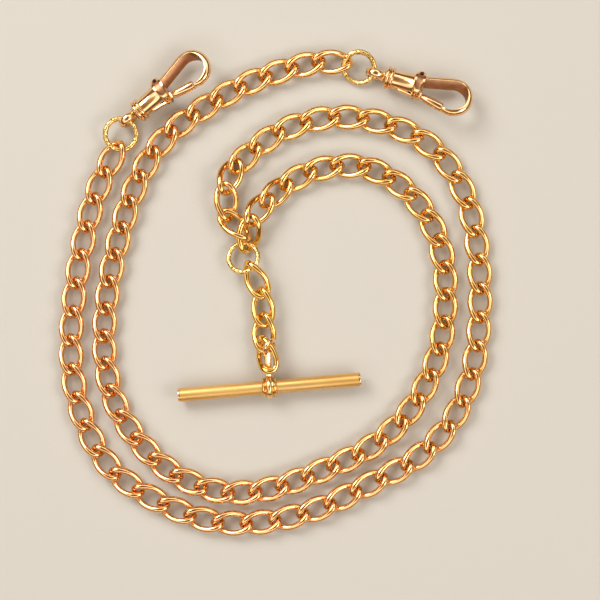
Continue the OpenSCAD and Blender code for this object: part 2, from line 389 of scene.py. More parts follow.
def fix_place() -> None:
    """Moves the selected object's place, turn and size into its mesh."""
    bpy.ops.object.transform_apply(location=True, rotation=True, scale=True)


def seat(obj: Object, frame: Matrix) -> None:
    """Moves a piece from its own frame to its place, which its mesh then holds.

    Args:
        obj: The piece, modelled round the origin.
        frame: The place.
    """
    pick(obj)
    obj.matrix_world = frame @ obj.matrix_world
    fix_place()


def tidy_shell(obj: Object) -> None:
    """Merges doubled points and turns every face outwards.

    Args:
        obj: The piece.
    """
    pick(obj)
    bpy.ops.object.mode_set(mode="EDIT")
    bpy.ops.mesh.select_all(action="SELECT")
    bpy.ops.mesh.remove_doubles(threshold=WELD)
    bpy.ops.mesh.normals_make_consistent(inside=False)
    bpy.ops.object.mode_set(mode="OBJECT")


def extrude(step: Vector) -> None:
    """Extrudes what is selected by one step."""
    bpy.ops.mesh.extrude_region_move(TRANSFORM_OT_translate={"value": step})


def draw_line(name: str, points: Sequence[Vector]) -> Object:
    """Starts a piece as a line through points, in edit mode.

    Args:
        name: The piece's name.
        points: The line's points.

    Returns:
        The new object, in edit mode with the whole line selected.
    """
    bpy.ops.object.select_all(action="DESELECT")
    bpy.ops.mesh.primitive_plane_add(size=MM, location=(0.0, 0.0, 0.0))
    obj = bpy.context.object
    obj.name = name
    bpy.ops.object.mode_set(mode="EDIT")
    bpy.ops.mesh.select_all(action="SELECT")
    bpy.ops.mesh.merge(type="CENTER")
    bpy.ops.mesh.select_all(action="SELECT")
    bpy.ops.transform.translate(value=points[0])
    for here, there in zip(points, points[1:]):
        extrude(there - here)
    bpy.ops.mesh.select_all(action="SELECT")
    return obj


def ease(value: float, start: float, end: float) -> float:
    """Rises smoothly from 0, where the value is start, to 1, where it is end."""
    share = min(1.0, max(0.0, (value - start) / (end - start)))
    return share * share * (3.0 - 2.0 * share)


def roll(heading: float, turn: float, centre: Vector) -> None:
    """Turns what is selected about a level axis.

    Args:
        heading: The axis's direction, as an angle from x in radians.
        turn: How far to turn, in radians.
        centre: A point of the axis.
    """
    for axis, value in (("Z", -heading), ("X", turn), ("Z", heading)):
        bpy.ops.transform.rotate(
            value=-value, orient_axis=axis, center_override=centre, orient_type="GLOBAL"
        )


def round_bead(
    middle: float, half: float, foot: float, crest: float, steps: int = 10
) -> list[Pair]:
    """Gives the profile of a round bead on a turned piece.

    Args:
        middle: Where its middle lies along the axis.
        half: Half its width.
        foot: The radius at its two feet.
        crest: The radius at its crest.
        steps: How many straight steps make the arc.

    Returns:
        The profile's points.
    """
    return [
        (middle - half * math.cos(angle), foot + (crest - foot) * math.sin(angle))
        for angle in np.linspace(0.0, math.pi, steps + 1)
    ]


def turn_on_lathe(
    name: str, profile: Profile, sides: int = 64, corners: Corners = Corners.ROUND
) -> Object:
    """Turns a profile round the x axis.

    Args:
        name: The piece's name.
        profile: Points (along the axis, radius), in millimetres. It starts and
            ends on the axis, or comes back to its first point.
        sides: How many sides the turned shape has.
        corners: How its edges are shaded.

    Returns:
        The turned piece.
    """
    obj = draw_line(name, [Vector((x * MM, radius * MM, 0.0)) for x, radius in profile])
    bpy.ops.mesh.spin(
        steps=sides, angle=2.0 * math.pi, center=(0.0, 0.0, 0.0), axis=(1.0, 0.0, 0.0)
    )
    bpy.ops.object.mode_set(mode="OBJECT")
    tidy_shell(obj)
    smooth(obj, corners)
    return obj


def round_block(
    name: str,
    sides: int,
    radius: float,
    height: float,
    middle: Vector,
    stretch: tuple[float, float, float] = UNSTRETCHED,
    tilt: tuple[float, float, float] = UNTURNED,
) -> Object:
    """Adds a round or oval block to work on or to cut with.

    Args:
        name: The block's name.
        sides: How many sides it has.
        radius: Its radius, in millimetres.
        height: Its height, in millimetres.
        middle: Its middle, in millimetres.
        stretch: How much it is stretched along each axis.
        tilt: How it is turned from upright, in radians about each axis.

    Returns:
        The block.
    """
    bpy.ops.object.select_all(action="DESELECT")
    bpy.ops.mesh.primitive_cylinder_add(
        vertices=sides, radius=radius * MM, depth=height * MM,
        location=middle * MM, rotation=tilt,
    )
    block = bpy.context.object
    block.name = name
    block.scale = stretch
    fix_place()
    return block


def combine(obj: Object, tool: Object, work: Work) -> None:
    """Works on a piece with another shape, which is used up.

    Args:
        obj: The piece.
        tool: The other shape.
        work: What the other shape does.
    """
    change = obj.modifiers.new(work.name.lower(), "BOOLEAN")
    change.operation = work.value
    change.object = tool
    change.solver = "EXACT"
    apply_modifiers(obj)
    bpy.data.objects.remove(tool)


def soften(obj: Object, width: float) -> None:
    """Rounds a piece's edges that are sharper than 35 degrees.

    Args:
        obj: The piece.
        width: The rounding's width, in millimetres.
    """
    bevel = obj.modifiers.new("worn_edges", "BEVEL")
    bevel.width = width * MM
    bevel.segments = 3
    bevel.limit_method = "ANGLE"
    bevel.angle_limit = math.radians(35.0)
    bevel.use_clamp_overlap = True
    apply_modifiers(obj)
    smooth(obj)


def cad_copy(frame: dict, node: str, name: str) -> Object:
    """Copies a CAD node, with its loose triangles merged.

    Args:
        frame: The loaded frame.
        node: The CAD node.
        name: The copy's name.

    Returns:
        The copy, shaded smooth.
    """
    mesh = frame["nodes"][node].data.copy()
    mesh.materials.clear()
    copy = bpy.data.objects.new(name, mesh)
    bpy.context.scene.collection.objects.link(copy)
    pick(copy)
    bpy.ops.mesh.customdata_custom_splitnormals_clear()
    tidy_shell(copy)
    smooth(copy)
    return copy


def finish_piece(obj: Object, body: str, finish: Material, node: str) -> None:
    """Dresses a piece and puts it on its body.

    Args:
        obj: The piece, in place.
        body: The CAD body that it rides on.
        finish: Its material.
        node: The CAD node that it stands for.
    """
    obj.data.name = obj.name
    obj.data.materials.clear()
    obj.data.materials.append(finish)
    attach(obj, body)
    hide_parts(node)
    LOG.info("%s: %d faces, rides on %s", obj.name, len(obj.data.polygons), body)


def points_of(frame: dict, node: str) -> np.ndarray:
    """Gives a CAD node's points, one a row.

    Args:
        frame: The loaded frame.
        node: The CAD node.

    Returns:
        The points.
    """
    mesh = frame["nodes"][node].data
    found = np.zeros(len(mesh.vertices) * 3, np.float32)
    mesh.vertices.foreach_get("co", found)
    return np.unique(found.reshape(-1, 3).round(7), axis=0).astype(float)


def body_of(frame: dict, node: str) -> str:
    """Gives the name of the body that holds a CAD node."""
    bodies = frame["record"]["behaviour"]["bodies"]
    return next(body for body, nodes in bodies.items() if node in nodes)


def upright_frame(centre: Vector, axis: Vector) -> Matrix:
    """Builds a frame from its origin and its z axis."""
    return Matrix.Translation(centre) @ axis.to_track_quat("Z", "Y").to_matrix().to_4x4()


# ---------------------------------------------------------------- links


@dataclass
class CurbLinks:
    """The twisted oval links of the strands and the drop, in millimetres.

    Triangles are paired where they lie flatter than flat_angle to each other
    and their corners are within corner_angle of a square's, both in degrees.
    """

    finish: Material
    slot: str
    stretch: float = 1.025
    wire_growth: float = 0.08
    rounds: int = 2
    flat_angle: float = 28.0
    corner_angle: float = 60.0
    made: int = 0

    def build(self, frame: dict, node: str) -> None:
        """Smooths every link of a CAD node, and gives each its own piece.

        Args:
            frame: The loaded frame.
            node: The CAD node with one or more links.
        """
        cad_copy(frame, node, f"{node}_link")
        bpy.ops.object.mode_set(mode="EDIT")
        bpy.ops.mesh.select_all(action="SELECT")
        bpy.ops.mesh.tris_convert_to_quads(
            face_threshold=math.radians(self.flat_angle),
            shape_threshold=math.radians(self.corner_angle),
        )
        bpy.ops.mesh.separate(type="LOOSE")
        bpy.ops.object.mode_set(mode="OBJECT")
        links = sorted(bpy.context.selected_objects, key=lambda link: link.name)
        for count, link in enumerate(links, 1):
            link.name = f"{node}_link_{count}" if len(links) > 1 else f"{node}_wire"
            self._swell(link)
            finish_piece(link, body_of(frame, node), self.finish, node)
            self.made += 1

    def _swell(self, link: Object) -> None:
        """Rounds one link's wire and brings it to its real thickness.

        Args:
            link: The link as faceted wire.
        """
        pick(link)
        bpy.ops.object.origin_set(type="ORIGIN_GEOMETRY", center="BOUNDS")
        link.scale = (self.stretch,) * 3
        fix_place()
        rounding = link.modifiers.new("round_wire", "SUBSURF")
        rounding.levels = rounding.render_levels = self.rounds
        growth = link.modifiers.new("full_wire", "DISPLACE")
        growth.strength = self.wire_growth * MM
        growth.mid_level = 0.0
        apply_modifiers(link)
        smooth(link)


# ---------------------------------------------------------------- rings


@dataclass
class HammeredRing:
    """A jump ring of rough, hammered wire, in millimetres."""

    finish: Material
    width: float = 6.3
    wire: float = 0.86
    dent: float = 0.42
    dent_depth: float = 0.13
    sides_along: int = 180
    sides_across: int = 28

    def build(self, frame: dict, node: str) -> None:
        """Models a ring at a CAD ring's place.

        Args:
            frame: The loaded frame.
            node: The CAD ring.
        """
        points = points_of(frame, node)
        low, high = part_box(node)
        centre = (low + high) / 2.0
        _, _, axes = np.linalg.svd(points - np.array(centre))
        bpy.ops.object.select_all(action="DESELECT")
        bpy.ops.mesh.primitive_torus_add(
            major_radius=(self.width - self.wire) / 2.0 * MM,
            minor_radius=self.wire / 2.0 * MM,
            major_segments=self.sides_along,
            minor_segments=self.sides_across,
        )
        ring = bpy.context.object
        ring.name = f"{node}_wire"
        blows = bpy.data.textures.new(f"{node}_blows", "VORONOI")
        blows.noise_scale = self.dent * MM
        dents = ring.modifiers.new("hammer_blows", "DISPLACE")
        dents.texture = blows
        dents.strength = self.dent_depth * MM
        dents.mid_level = 0.5
        apply_modifiers(ring)
        smooth(ring)
        seat(ring, upright_frame(centre, Vector(axes[2])))
        finish_piece(ring, body_of(frame, node), self.finish, node)


# ---------------------------------------------------------------- T-bar


@dataclass
class TBar:
    """The bar with its end caps, collar and eye, in millimetres."""

    satin: Material
    polished: Material
    collar_finish: Material
    body: str = "t_bar"
    bar_radius: float = 1.18
    cap_radius: float = 1.22
    cap_thickness: float = 0.5
    cap_rim: float = 0.3
    cap_seam: float = 0.002
    collar_half: float = 1.3
    collar_slack: float = 0.02
    rim_radius: float = 1.86
    bead_radius: float = 2.1
    bead_half: float = 0.62
    bead_foot: float = 0.2
    stud_radius: float = 0.42
    stud_lean: float = 34.0
    eye_rounding: float = 0.05
    sides: int = 72

    def find_place(self) -> tuple[Matrix, float]:
        """Finds the bar's frame and half length from its caps.

        Returns:
            The frame, with x along the bar, and the half length in millimetres.
        """
        ends = []
        for name in ("t_bar_cap_left", "t_bar_cap_right"):
            low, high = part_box(name)
            ends.append((low + high) / 2.0)
        run = ends[1] - ends[0]
        half = run.length / MM / 2.0 + self.cap_thickness / 2.0
        turn = math.atan2(run.y, run.x)
        centre = (ends[0] + ends[1]) / 2.0
        return Matrix.Translation(centre) @ Matrix.Rotation(turn, 4, "Z"), half

    def build(self, frame: dict) -> None:
        """Models the bar, caps, collar and eye.

        Args:
            frame: The loaded frame.
        """
        place, half = self.find_place()
        self._bar(place, half)
        self._caps(place, half)
        self._collar(place)
        self._eye(frame)

    def _bar(self, place: Matrix, half: float) -> None:
        """Turns the plain bar.

        Args:
            place: The bar's frame.
            half: Half its length over the caps.
        """
        end, full = half - self.cap_rim, self.bar_radius
        profile = [
            (-end, 0.0), (-end, full - 0.06), (-end + 0.06, full), (-end / 2.0, full),
            (0.0, full), (end / 2.0, full), (end - 0.06, full), (end, full - 0.06), (end, 0.0),
        ]
        bar = turn_on_lathe("t_bar_rod", profile, self.sides)
        seat(bar, place)
        finish_piece(bar, self.body, self.satin, "t_bar")

    def _caps(self, place: Matrix, half: float) -> None:
        """Turns the two thin end caps.

        Args:
            place: The bar's frame.
            half: Half the bar's length over the caps.
        """
        full, inner = self.cap_radius, half - self.cap_rim + self.cap_seam
        profile = [
            (inner, 0.0), (inner, full - 0.05), (inner + 0.05, full), (half - 0.09, full),
            (half - 0.03, full - 0.04), (half, full - 0.12), (half, full - 0.24),
            (half - 0.06, full - 0.3), (half - 0.06, 0.0),
        ]
        for name, side in (("t_bar_cap_left", -1.0), ("t_bar_cap_right", 1.0)):
            mirrored = [(side * x, y) for x, y in profile]
            cap = turn_on_lathe(f"{name}_turned", mirrored, self.sides)
            seat(cap, place)
            finish_piece(cap, self.body, self.polished, name)

    def _collar(self, place: Matrix) -> None:
        """Turns the collar's ridged rims and the bead between them.

        Args:
            place: The bar's frame.
        """
        bore = self.bar_radius + self.collar_slack
        # Each point: how far in from the collar's end, and how far below the rim.
        ridges = [
            (0.0, 0.42), (0.05, 0.24), (0.15, 0.1), (0.28, 0.05), (0.4, 0.1), (0.48, 0.24),
            (0.52, 0.3), (0.57, 0.2), (0.62, 0.1), (0.7, 0.12), (0.76, 0.34),
        ]
        right = [(self.collar_half, bore)]
        right += [(self.collar_half - x, self.rim_radius - below) for x, below in ridges]
        left = [(-x, radius) for x, radius in reversed(right)]
        rims = turn_on_lathe("t_bar_collar_rims", [*right, *left, right[0]])
        self._finish_collar(rims, place)
        foot = bore + self.bead_foot
        arc = round_bead(0.0, self.bead_half, foot, self.bead_radius, steps=12)
        bead = turn_on_lathe("t_bar_collar_bead", [*arc, arc[0]], sides=40)
        self._finish_collar(bead, place)
        self._stud(place)

    def _finish_collar(self, obj: Object, place: Matrix) -> None:
        """Puts a piece of the collar in its place and dresses it."""
        seat(obj, place)
        finish_piece(obj, self.body, self.collar_finish, "t_bar_collar")

    def _stud(self, place: Matrix) -> None:
        """Turns the small hollow stud on the collar's side away from the eye.

        Args:
            place: The bar's frame.
        """
        full, base, top = self.stud_radius, self.rim_radius - 0.5, self.bead_radius - 0.02
        profile = [
            (base, 0.0), (base, full), (top - 0.1, full), (top - 0.02, full - 0.05),
            (top, full - 0.13), (top - 0.03, full - 0.2), (top - 0.3, full - 0.24),
            (top - 0.3, 0.0),
        ]
        stud = turn_on_lathe("t_bar_collar_stud", profile, sides=32)
        upright = Matrix.Rotation(-math.pi / 2.0, 4, "Y")
        lean = Matrix.Rotation(math.radians(self.stud_lean), 4, "X")
        self._finish_collar(stud, place @ lean @ upright)

    def _eye(self, frame: dict) -> None:
        """Smooths the eye's ring and the edges of its eight-sided stem.

        Args:
            frame: The loaded frame.
        """
        eye = cad_copy(frame, "t_bar_eye", "t_bar_eye_ring")
        soften(eye, self.eye_rounding)
        finish_piece(eye, self.body, self.polished, "t_bar_eye")


# ---------------------------------------------------------------- dog clips


@dataclass
class DogClip:
    """A swivelling dog clip, in millimetres.

    In its own frame x runs from the small collar to the hook, and y points to
    the hook's spine. Angles are in degrees, and the places of the spine's root,
    the loop, the pin hole and the hinge are taken from the barrel's end.
    """

    side: Side
    gold: Material
    # The duller material whose dark, rosy colour is painted shade on the clip's hidden sides.
    dull_painted_shade: Material
    steel: Material
    barrel: float = 5.2
    small_radius: float = 2.05
    large_radius: float = 2.6
    collar_drop: float = 0.2
    slot_start: float = 3.7
    slot_half: float = 0.62
    slot_floor: float = 0.6
    slot_depth: float = 4.0
    bow_x: float = 6.3
    bow_y: float = -0.35
    bow_radius: float = 2.85
    bow_steps: int = 48
    tip_angle: float = -112.0
    tip_size: float = 0.82
    tip_twist: float = 20.0
    spine_angle: float = 105.0
    spine_gain: float = 0.15
    spine_twist: float = 21.0
    spine_root: Pair = (0.25, 1.15)
    spine_steps: int = 6
    least_twist: float = 7.0
    flat_facing: float = 0.72
    loop_place: Pair = (0.04, 0.12)
    loop_half: Pair = (0.92, 2.28)
    loop_stand: float = 0.08
    loop_edge: float = 0.15
    recess_half: Pair = (0.54, 1.86)
    recess_depth: float = 0.26
    pin_hole_place: Pair = (0.04, 1.32)
    pin_hole_radius: float = 0.3
    pin_hole_depth: float = 3.2
    hinge_place: Pair = (0.2, -1.6)
    gate_radius: float = 0.76
    gate_past_tip: float = 4.0
    gate_inset: float = 0.15
    gate_gap: float = 0.06
    lever_half: float = 0.36
    lever_edge: float = 0.1
    knuckle_radius: float = 0.72
    worn_edge: float = 0.04
    swivel_eye: float = 3.5
    swivel_wire: float = 0.9
    swivel_x: float = -2.65
    eye_breadth: float = 1.6
    place: Matrix = field(default_factory=Matrix)

    def find_place(self, frame: dict) -> None:
        """Sets the clip's frame from its swivel and its gate's hinge.

        Args:
            frame: The loaded frame.
        """
        joints = {joint["name"]: joint for joint in frame["joints"]}
        swivel = joints[f"clip_{self.side.value}_swivel"]
        hinge = joints[f"clip_gate_{self.side.value}_open"]
        origin, pivot = Vector(swivel["pos_m"]), Vector(hinge["pos_m"])
        along = Vector(swivel["axis"]).normalized()
        if (pivot - origin).dot(along) < 0.0:
            along.negate()
        up = Vector(hinge["axis"])
        up = (up - up.dot(along) * along).normalized()
        if (pivot - origin).dot(up.cross(along)) > 0.0:
            up.negate()
        across = up.cross(along)
        self.place = Matrix((along, across, up)).transposed().to_4x4()
        self.place.translation = origin

    def build(self, frame: dict) -> None:
        """Models the clip's pieces.

        Args:
            frame: The loaded frame.
        """
        self.find_place(frame)
        # The pin hole, the hook's inside and the loop's recess get painted shade: a darker, rosier
        # material.
        for piece, inside in (
            (self._barrel(), self._in_pin_hole),
            (self._hook(), self._in_hook),
            (self._saddle(), self._in_recess),
        ):
            self._finish(piece, "clip_body")
            self._paint_inside_shade(piece, inside)
        self._finish(self._swivel(frame), "clip_swivel")
        self._finish(self._gate(), "clip_gate")
        self._finish(self._lever(), "clip_gate")
        for part, finish, slot in (
            ("clip_pin", self.gold, "clip_gold"),
            ("clip_spring", self.steel, "spring_steel"),
        ):
            node = f"{part}_{self.side.value}"
            copy = cad_copy(frame, node, f"{node}_worn")
            soften(copy, self.worn_edge)
            finish_piece(copy, body_of(frame, node), finish, node)

    def _finish(self, obj: Object, part: str) -> None:
        """Puts a modelled piece in the clip's place and dresses it.

        Args:
            obj: The piece in the clip's frame.
            part: The name, without its letter, that the CAD node and its body share.
        """
        seat(obj, self.place)
        node = f"{part}_{self.side.value}"
        finish_piece(obj, node, self.gold, node)

    def _barrel(self) -> Object:
        """Turns the barrel with both collars, and cuts the gate's slot.

        Returns:
            The barrel in the clip's frame.
        """
        small, large = self.small_radius, self.large_radius - self.collar_drop
        # Each point: how far along, and how far below the small collar.
        taper = [
            (0.9, 0.43), (1.4, 0.43), (2.0, 0.4), (2.7, 0.33), (3.3, 0.25), (3.9, 0.14),
            (4.3, 0.04), (4.4, 0.0),
        ]
        profile = [
            (2.8, 0.0), (2.8, 1.05), (0.8, 1.05), (0.8, 0.56), (-0.5, 0.56), (-0.62, 1.0),
            (-0.74, 1.5),
            *round_bead(-0.37, 0.36, small - 0.44, small),
            *round_bead(0.37, 0.35, small - 0.44, small - 0.03),
            *((x, small - below) for x, below in taper),
            *round_bead(4.78, 0.37, large - 0.4, large),
            *round_bead(5.56, 0.37, large - 0.4, large),
            (5.95, large - 0.6), (5.93, 1.2), (5.9, 0.0),
        ]
        barrel = turn_on_lathe(f"clip_barrel_{self.side.value}", profile, 72)
        size = Vector((self.barrel, self.slot_depth, 2.0 * self.slot_half))
        bpy.ops.object.select_all(action="DESELECT")
        bpy.ops.mesh.primitive_cube_add(size=1.0)
        slot = bpy.context.object
        slot.scale = size * MM
        slot.location = MM * Vector(
            (self.slot_start + size.x / 2.0, -self.slot_floor - size.y / 2.0, 0.0)
        )
        fix_place()
        combine(barrel, slot, Work.CUT)
        combine(barrel, self._pin_drill(), Work.CUT)
        smooth(barrel)
        return barrel

    def _hook(self) -> Object:
        """Draws the hook's half-round section and carries it round the bow and down the spine.

        The flat of the section faces into the bow, and turns upwards along the spine.

        Returns:
            The hook in the clip's frame.
        """
        arc = [
            (0.9 * math.cos(angle) - 0.3, 0.95 * math.sin(angle))
            for angle in np.linspace(-0.5 * math.pi, 0.5 * math.pi, 13)
        ]
        section = [(-0.5, 0.0), (-0.5, -0.8), (-0.44, -0.91), *arc, (-0.44, 0.91), (-0.5, 0.8)]
        centre = self._bow_centre() * MM
        start = math.radians(self.tip_angle)
        out = Vector((math.cos(start), math.sin(start), 0.0))
        middle = centre + out * self.bow_radius * MM
        points = [middle + out * x * MM + Vector((0.0, 0.0, z * MM)) for x, z in section]
        hook = draw_line(f"clip_hook_{self.side.value}", points)
        bpy.ops.mesh.edge_face_add()
        bpy.ops.transform.resize(value=(self._size_at(0.0),) * 3, center_override=middle)
        roll(start + math.pi / 2.0, self._twist_at(0.0), middle)
        turn = math.radians(self.spine_angle - self.tip_angle) / self.bow_steps
        for step in range(1, self.bow_steps + 1):
            bpy.ops.mesh.extrude_region_move()
            bpy.ops.transform.rotate(
                value=-turn, orient_axis="Z", center_override=centre, orient_type="GLOBAL"
            )
            angle = start + turn * step
            out = Vector((math.cos(angle), math.sin(angle), 0.0))
            middle = centre + out * self.bow_radius * MM
            before, here = (step - 1) / self.bow_steps, step / self.bow_steps
            grow = self._size_at(here) / self._size_at(before)
            bpy.ops.transform.resize(value=(grow,) * 3, center_override=middle)
            twist = self._twist_at(here) - self._twist_at(before)
            roll(angle + math.pi / 2.0, twist, middle)
        run = self._past_barrel(self.spine_root) * MM - middle
        for _ in range(self.spine_steps):
            extrude(run / self.spine_steps)
        bpy.ops.object.mode_set(mode="OBJECT")
        tidy_shell(hook)
        smooth(hook)
        return hook

    def _size_at(self, share: float) -> float:
        """Gives the hook's size at a share of the bow, from slim tip to full spine."""
        slim = (1.0 - self.tip_size) * (1.0 - min(1.0, share / 0.25) ** 0.8)
        return 1.0 - slim + self.spine_gain * ease(share, 0.5, 0.85)

    def _twist_at(self, share: float) -> float:
        """Gives how far the hook's flat side turns up at a share of the bow."""
        spine, tip = ease(share, 0.5, 0.85), 1.0 - ease(share, 0.0, 0.4)
        return math.radians(self.least_twist + self.spine_twist * spine + self.tip_twist * tip)

    def _paint_inside_shade(self, piece: Object, inside: Callable[[Vector, Vector], bool]) -> None:
        """Gives the hidden sides of a finished piece a duller face with painted shade: a darker,
        rosier colour where shade and reflected gold fall.

        Args:
            piece: The finished piece.
            inside: Tells from a face's middle and normal, in the clip's frame and
                in millimetres, whether it is one of them.
        """
        piece.data.materials.append(self.dull_painted_shade)
        back = self.place.inverted()
        turned = back.to_3x3()
        for face in piece.data.polygons:
            if inside((back @ face.center) / MM, turned @ face.normal):
                face.material_index = 1

    def _in_hook(self, middle: Vector, normal: Vector) -> bool:
        """Tells whether a face is on the flat inside of the hook.

        Args:
            middle: The face's middle.
            normal: Its normal.

        Returns:
            Whether it faces the bow's centre or, behind that, straight across.
        """
        inward = self._bow_centre() - middle
        inward.x = min(0.0, inward.x)
        inward.z = 0.0
        return normal.dot(inward.normalized()) > self.flat_facing

    def _in_recess(self, middle: Vector, normal: Vector) -> bool:
        """Tells whether a face is below the loop's top and doesn't look along the clip."""
        radius = math.hypot(middle.y, middle.z)
        return radius < self.large_radius - 0.14 and middle.z > 1.2 and normal.x ** 2 < 0.9

    def _in_pin_hole(self, middle: Vector, _normal: Vector) -> bool:
        """Tells from its middle alone whether a face is in the barrel's pin hole."""
        aside = (middle - self._pin_hole()).to_2d()
        return aside.length < self.pin_hole_radius + 0.01 and middle.z > 0.0

    def _bow_centre(self) -> Vector:
        """Gives the centre of the hook's bow, in millimetres."""
        return Vector((self.barrel + self.bow_x, self.bow_y, 0.0))

    def _past_barrel(self, place: Pair, height: float = 0.0) -> Vector:
        """Gives a point, in millimetres, from its place past the barrel's end."""
        return Vector((self.barrel + place[0], place[1], height))

    def _hinge(self) -> Vector:
        """Gives the middle of the gate's hinge, in millimetres."""
        return self._past_barrel(self.hinge_place)

    def _pin_hole(self) -> Vector:
        """Gives the top of the pin hole, in millimetres."""
        return self._past_barrel(self.pin_hole_place, self.large_radius)

    def _pin_drill(self) -> Object:
        """Adds the round block that cuts the pin hole."""
        return round_block(
            "pin_drill", 24, self.pin_hole_radius, self.pin_hole_depth, self._pin_hole()
        )

    def _gate(self) -> Object:
        """Turns the gate's round bar, which runs from its hinge to the hook's tip.

        Returns:
            The bar in the clip's frame.
        """
        angle = math.radians(self.tip_angle - self.gate_past_tip)
        out = Vector((math.cos(angle), math.sin(angle), 0.0))
        tip = self._bow_centre() + (self.bow_radius - self.gate_inset) * out
        run = tip - self._hinge()
        end, full = run.length - self.gate_gap, self.gate_radius
        profile = [
            (0.6, 0.0), (0.6, full - 0.36), (0.9, full - 0.22), (1.4, full - 0.1),
            (2.1, full - 0.02), (0.6 * end, full + 0.02), (end - 0.12, full + 0.03),
            (end - 0.04, full - 0.02), (end, full - 0.1), (end, 0.0),
        ]
        bar = turn_on_lathe(f"clip_gate_{self.side.value}_bar", profile, 40)
        turn = Matrix.Rotation(math.atan2(run.y, run.x), 4, "Z")
        seat(bar, Matrix.Translation(self._hinge() * MM) @ turn)
        return bar

    def _lever(self) -> Object:
        """Draws the gate's thumb lever, which runs back from the hinge beside the barrel.

        Returns:
            The lever with its knuckle, in the clip's frame.
        """
        outline = [
            (1.9, -1.6), (3.6, -1.78), (4.6, -1.5), (5.5, -1.2), (6.1, -1.45), (6.0, -2.2),
            (5.2, -2.35), (4.4, -2.3), (3.6, -2.14), (2.0, -1.96),
        ]
        points = [Vector((x, y, -self.lever_half)) * MM for x, y in outline]
        lever = draw_line(f"clip_gate_{self.side.value}_lever", points)
        bpy.ops.mesh.edge_face_add()
        extrude(Vector((0.0, 0.0, 2.0 * self.lever_half * MM)))
        bpy.ops.object.mode_set(mode="OBJECT")
        tidy_shell(lever)
        knuckle = round_block("knuckle", 48, self.knuckle_radius, 1.0, self._hinge())
        combine(lever, knuckle, Work.JOIN)
        soften(lever, self.lever_edge)
        return lever

    def _saddle(self) -> Object:
        """Models the long oval loop that sits over the large collar, with its pin hole.

        Returns:
            The loop in the clip's frame.
        """
        top = self.large_radius + self.loop_stand
        loop = self._oval(f"clip_saddle_{self.side.value}", self.loop_half)
        combine(loop, self._round_bar(top), Work.TRIM)
        recess = self._oval("recess", self.recess_half)
        combine(recess, self._round_bar(top - self.recess_depth), Work.CUT)
        combine(loop, recess, Work.CUT)
        combine(loop, self._pin_drill(), Work.CUT)
        soften(loop, self.loop_edge)
        return loop

    def _oval(self, name: str, half: Pair) -> Object:
        """Adds an oval block over the large collar, from half its length and width."""
        middle = self._past_barrel(self.loop_place, height=2.3)
        return round_block(name, 64, 1.0, 2.4, middle, stretch=(*half, 1.0))

    def _round_bar(self, radius: float) -> Object:
        """Adds a round bar along the clip's axis, through the large collar."""
        along = (0.0, math.pi / 2.0, 0.0)
        return round_block("round_bar", 96, radius, 4.0, self._past_barrel((0.0, 0.0)), tilt=along)

    def _swivel(self, frame: dict) -> Object:
        """Models the swivel's eye with its flared neck, stem and head.

        Args:
            frame: The loaded frame.

        Returns:
            The swivel in the clip's frame.
        """
        profile = [
            (-2.1, 0.0), (-2.1, 0.45), (-1.9, 0.62), (-1.58, 0.8), (-1.28, 1.02),
            (-1.06, 1.24), (-0.98, 1.28), (-0.93, 1.2), (-0.91, 0.5), (0.9, 0.5),
            (0.9, 0.9), (1.4, 0.9), (1.4, 0.0),
        ]
        neck = turn_on_lathe(f"clip_eye_{self.side.value}", profile, 8, Corners.FACETED)
        turn = self._eye_turn(frame)
        bpy.ops.object.select_all(action="DESELECT")
        bpy.ops.mesh.primitive_torus_add(
            location=(self.swivel_x * MM, 0.0, 0.0),
            rotation=(turn, 0.0, 0.0),
            major_radius=(self.swivel_eye - self.swivel_wire) / 2.0 * MM,
            minor_radius=self.swivel_wire / 2.0 * MM,
            major_segments=64,
            minor_segments=24,
        )
        eye = bpy.context.object
        eye.scale = (1.0, 1.0, self.eye_breadth)
        fix_place()
        combine(neck, eye, Work.JOIN)
        soften(neck, self.worn_edge)
        return neck

    def _eye_turn(self, frame: dict) -> float:
        """Finds how far the eye is turned about the clip's axis.

        Args:
            frame: The loaded frame.

        Returns:
            The turn in radians.
        """
        points = points_of(frame, f"clip_swivel_{self.side.value}")
        back = np.array(self.place.inverted())
        local = points @ back[:3, :3].T + back[:3, 3]
        eye = local[local[:, 0] < self.swivel_x * MM]
        spread = np.cov(eye[:, 1], eye[:, 2])
        return 0.5 * math.atan2(2.0 * spread[0, 1], spread[0, 0] - spread[1, 1])


# ---------------------------------------------------------------- the studio


